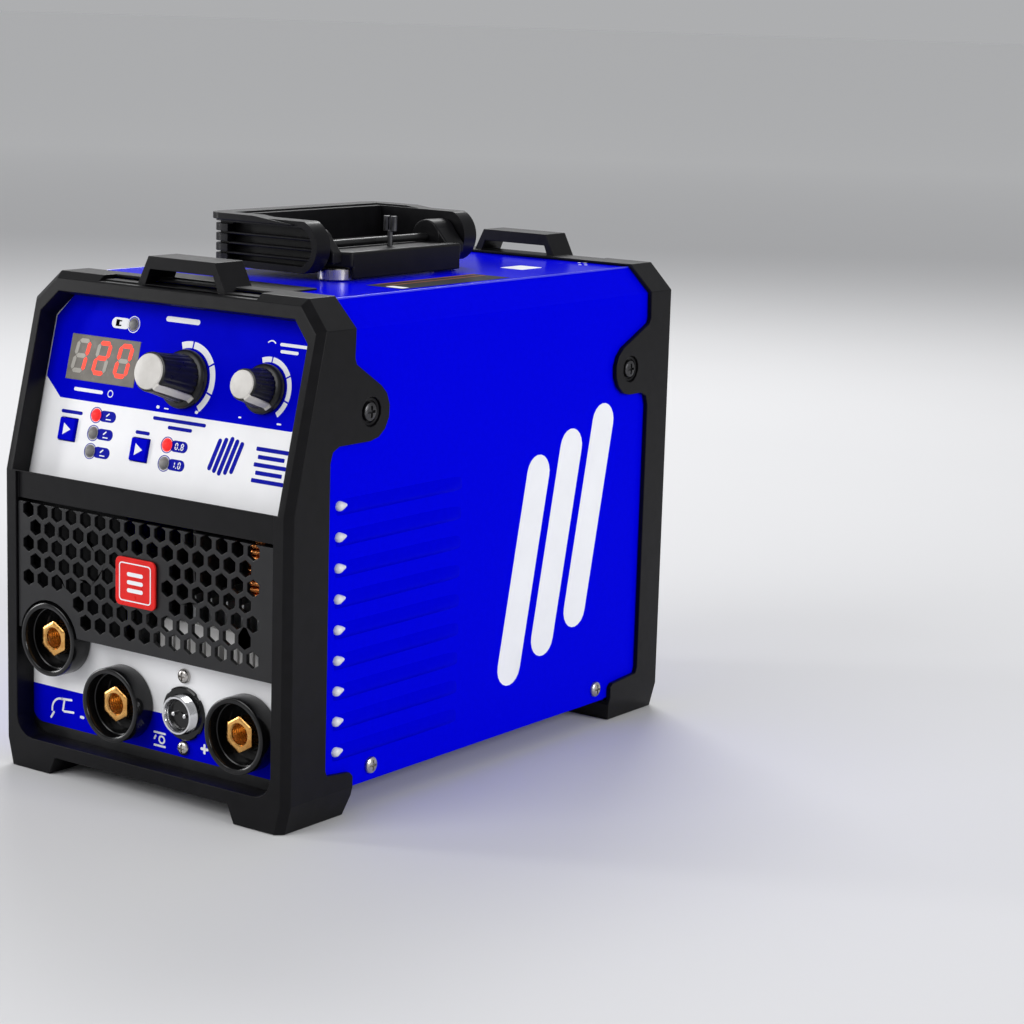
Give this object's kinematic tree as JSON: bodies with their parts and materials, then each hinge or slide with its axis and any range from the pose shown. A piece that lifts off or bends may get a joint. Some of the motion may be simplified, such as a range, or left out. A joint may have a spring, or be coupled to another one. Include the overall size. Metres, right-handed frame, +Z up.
{
  "type": "mig welding machine",
  "caption": "Portable inverter mig welding machine with a blue case, black end bezels, leaning control panel, cable sockets, carrying handle and a side door over the wire spool.",
  "frame": {"origin": "centre of the bounding box's bottom face, on the floor under the feet", "axes": "+Z up, +Y from the control panel to the rear, +X to the machine's right seen from its front"},
  "size_m": [0.162, 0.2878, 0.239],
  "materials": {
    "bezel_plastic": "textured moulded black",
    "case_paint": "smooth gloss blue paint",
    "zinc_sheet": "zinc-plated",
    "panel_film": "printed satin film, blue field over white",
    "display_lens": "smoked",
    "circuit_board": "green solder mask",
    "black_plastic": "satin moulded black",
    "grey_plastic": "satin grey",
    "blue_plastic": "satin blue",
    "red_plastic": "gloss red",
    "brass": "turned",
    "chrome": "polished",
    "steel": "zinc-plated",
    "aluminium": "extruded",
    "copper": "enamelled copper winding"
  },
  "bodies": {
    "case": {"front_bezel": "bezel_plastic", "rear_bezel": "bezel_plastic", "case_cover": "case_paint", "base_pan": "case_paint", "rear_panel": "case_paint", "divider_panel": "zinc_sheet", "control_panel": "panel_film", "connector_panel": "panel_film", "display_module": "display_lens", "control_board": "circuit_board", "main_board": "circuit_board", "vent_grille": "black_plastic", "badge_plate": "red_plastic", "torch_socket": "black_plastic", "negative_socket": "black_plastic", "positive_socket": "black_plastic", "torch_socket_contact": "brass", "negative_socket_contact": "brass", "positive_socket_contact": "brass", "trigger_connector": "chrome", "trigger_insert": "black_plastic", "handle_bracket": "bezel_plastic", "handle_rod": "steel", "front_spacer": "steel", "rear_spacer": "steel", "fan_frame": "black_plastic", "fan_guard": "steel", "power_switch": "black_plastic", "cable_gland": "black_plastic", "spool_axle": "black_plastic", "feed_plate": "aluminium", "feed_motor": "zinc_sheet", "heat_sink": "aluminium", "output_inductor": "copper", "front_left_lug_screw": "steel", "front_left_cover_screw": "steel", "front_right_lug_screw": "steel", "front_right_cover_screw": "steel", "rear_left_lug_screw": "steel", "rear_left_cover_screw": "steel", "rear_right_lug_screw": "steel", "rear_right_cover_screw": "steel", "upper_panel_screw": "steel", "lower_panel_screw": "steel"},
    "handle": {"handle": "bezel_plastic"},
    "current_knob": {"current_knob": "black_plastic", "current_knob_cap": "grey_plastic"},
    "trim_knob": {"trim_knob": "black_plastic", "trim_knob_cap": "grey_plastic"},
    "process_button": {"process_button": "blue_plastic"},
    "wire_button": {"wire_button": "blue_plastic"},
    "power_rocker": {"power_rocker": "red_plastic"},
    "spool_door": {"spool_door": "case_paint"},
    "door_latch": {"door_latch": "black_plastic"},
    "wire_spool": {"wire_spool": "black_plastic"},
    "drive_roller": {"drive_roller": "steel"},
    "pressure_arm": {"pressure_arm": "zinc_sheet"},
    "pressure_roller": {"pressure_roller": "steel"},
    "tension_knob": {"tension_knob": "red_plastic"},
    "fan_rotor": {"fan_rotor": "black_plastic"}
  },
  "joints": [
    {"name": "handle_fold", "type": "hinge", "parent": "case", "child": "handle", "pos_m": [0.013, -0.00607, 0.227], "axis": [0, 1, 0], "range_deg": [0, 90]},
    {"name": "current_turn", "type": "hinge", "parent": "case", "child": "current_knob", "pos_m": [0.005, -0.12068, 0.17516], "axis": [0, -0.9701, 0.2425], "range_deg": [0, 280]},
    {"name": "trim_turn", "type": "hinge", "parent": "case", "child": "trim_knob", "pos_m": [0.0485, -0.12053, 0.17574], "axis": [0, -0.9701, 0.2425], "range_deg": [0, 280]},
    {"name": "process_press", "type": "slide", "parent": "case", "child": "process_button", "axis": [0, 0.9701, -0.2425], "range_m": [0, 0.0012], "stiffness_N_per_m": 400, "springref_m": -0.001},
    {"name": "wire_press", "type": "slide", "parent": "case", "child": "wire_button", "axis": [0, 0.9701, -0.2425], "range_m": [0, 0.0012], "stiffness_N_per_m": 400, "springref_m": -0.001},
    {"name": "rocker_tilt", "type": "hinge", "parent": "case", "child": "power_rocker", "pos_m": [-0.037, 0.12083, 0.165], "axis": [1, 0, 0], "range_deg": [0, 16]},
    {"name": "door_swing", "type": "hinge", "parent": "case", "child": "spool_door", "pos_m": [-0.0788, 0.07763, 0.03], "axis": [0, 0, -1], "range_deg": [0, 110]},
    {"name": "latch_turn", "type": "hinge", "parent": "spool_door", "child": "door_latch", "pos_m": [-0.0785, -0.06807, 0.112], "axis": [1, 0, 0], "range_deg": [0, 90]},
    {"name": "spool_spin", "type": "hinge", "parent": "case", "child": "wire_spool", "pos_m": [-0.0395, 0.04393, 0.115], "axis": [1, 0, 0], "continuous": true},
    {"name": "drive_spin", "type": "hinge", "parent": "case", "child": "drive_roller", "pos_m": [-0.054, -0.07807, 0.0465], "axis": [1, 0, 0], "continuous": true},
    {"name": "arm_swing", "type": "hinge", "parent": "case", "child": "pressure_arm", "pos_m": [-0.0485, -0.04807, 0.076], "axis": [1, 0, 0], "range_deg": [-40, 0]},
    {"name": "pressure_spin", "type": "hinge", "parent": "pressure_arm", "child": "pressure_roller", "pos_m": [-0.054, -0.07807, 0.0683], "axis": [1, 0, 0], "continuous": true},
    {"name": "tension_turn", "type": "hinge", "parent": "pressure_arm", "child": "tension_knob", "pos_m": [-0.0545, -0.09607, 0.0796], "axis": [0, 0, 1], "range_deg": [0, 720]},
    {"name": "fan_spin", "type": "hinge", "parent": "case", "child": "fan_rotor", "pos_m": [0.029, 0.10593, 0.11], "axis": [0, 1, 0], "continuous": true}
  ],
  "couplings": [
    {"joint": "pressure_spin", "follows": "drive_spin", "ratio": -1.3778}
  ]
}
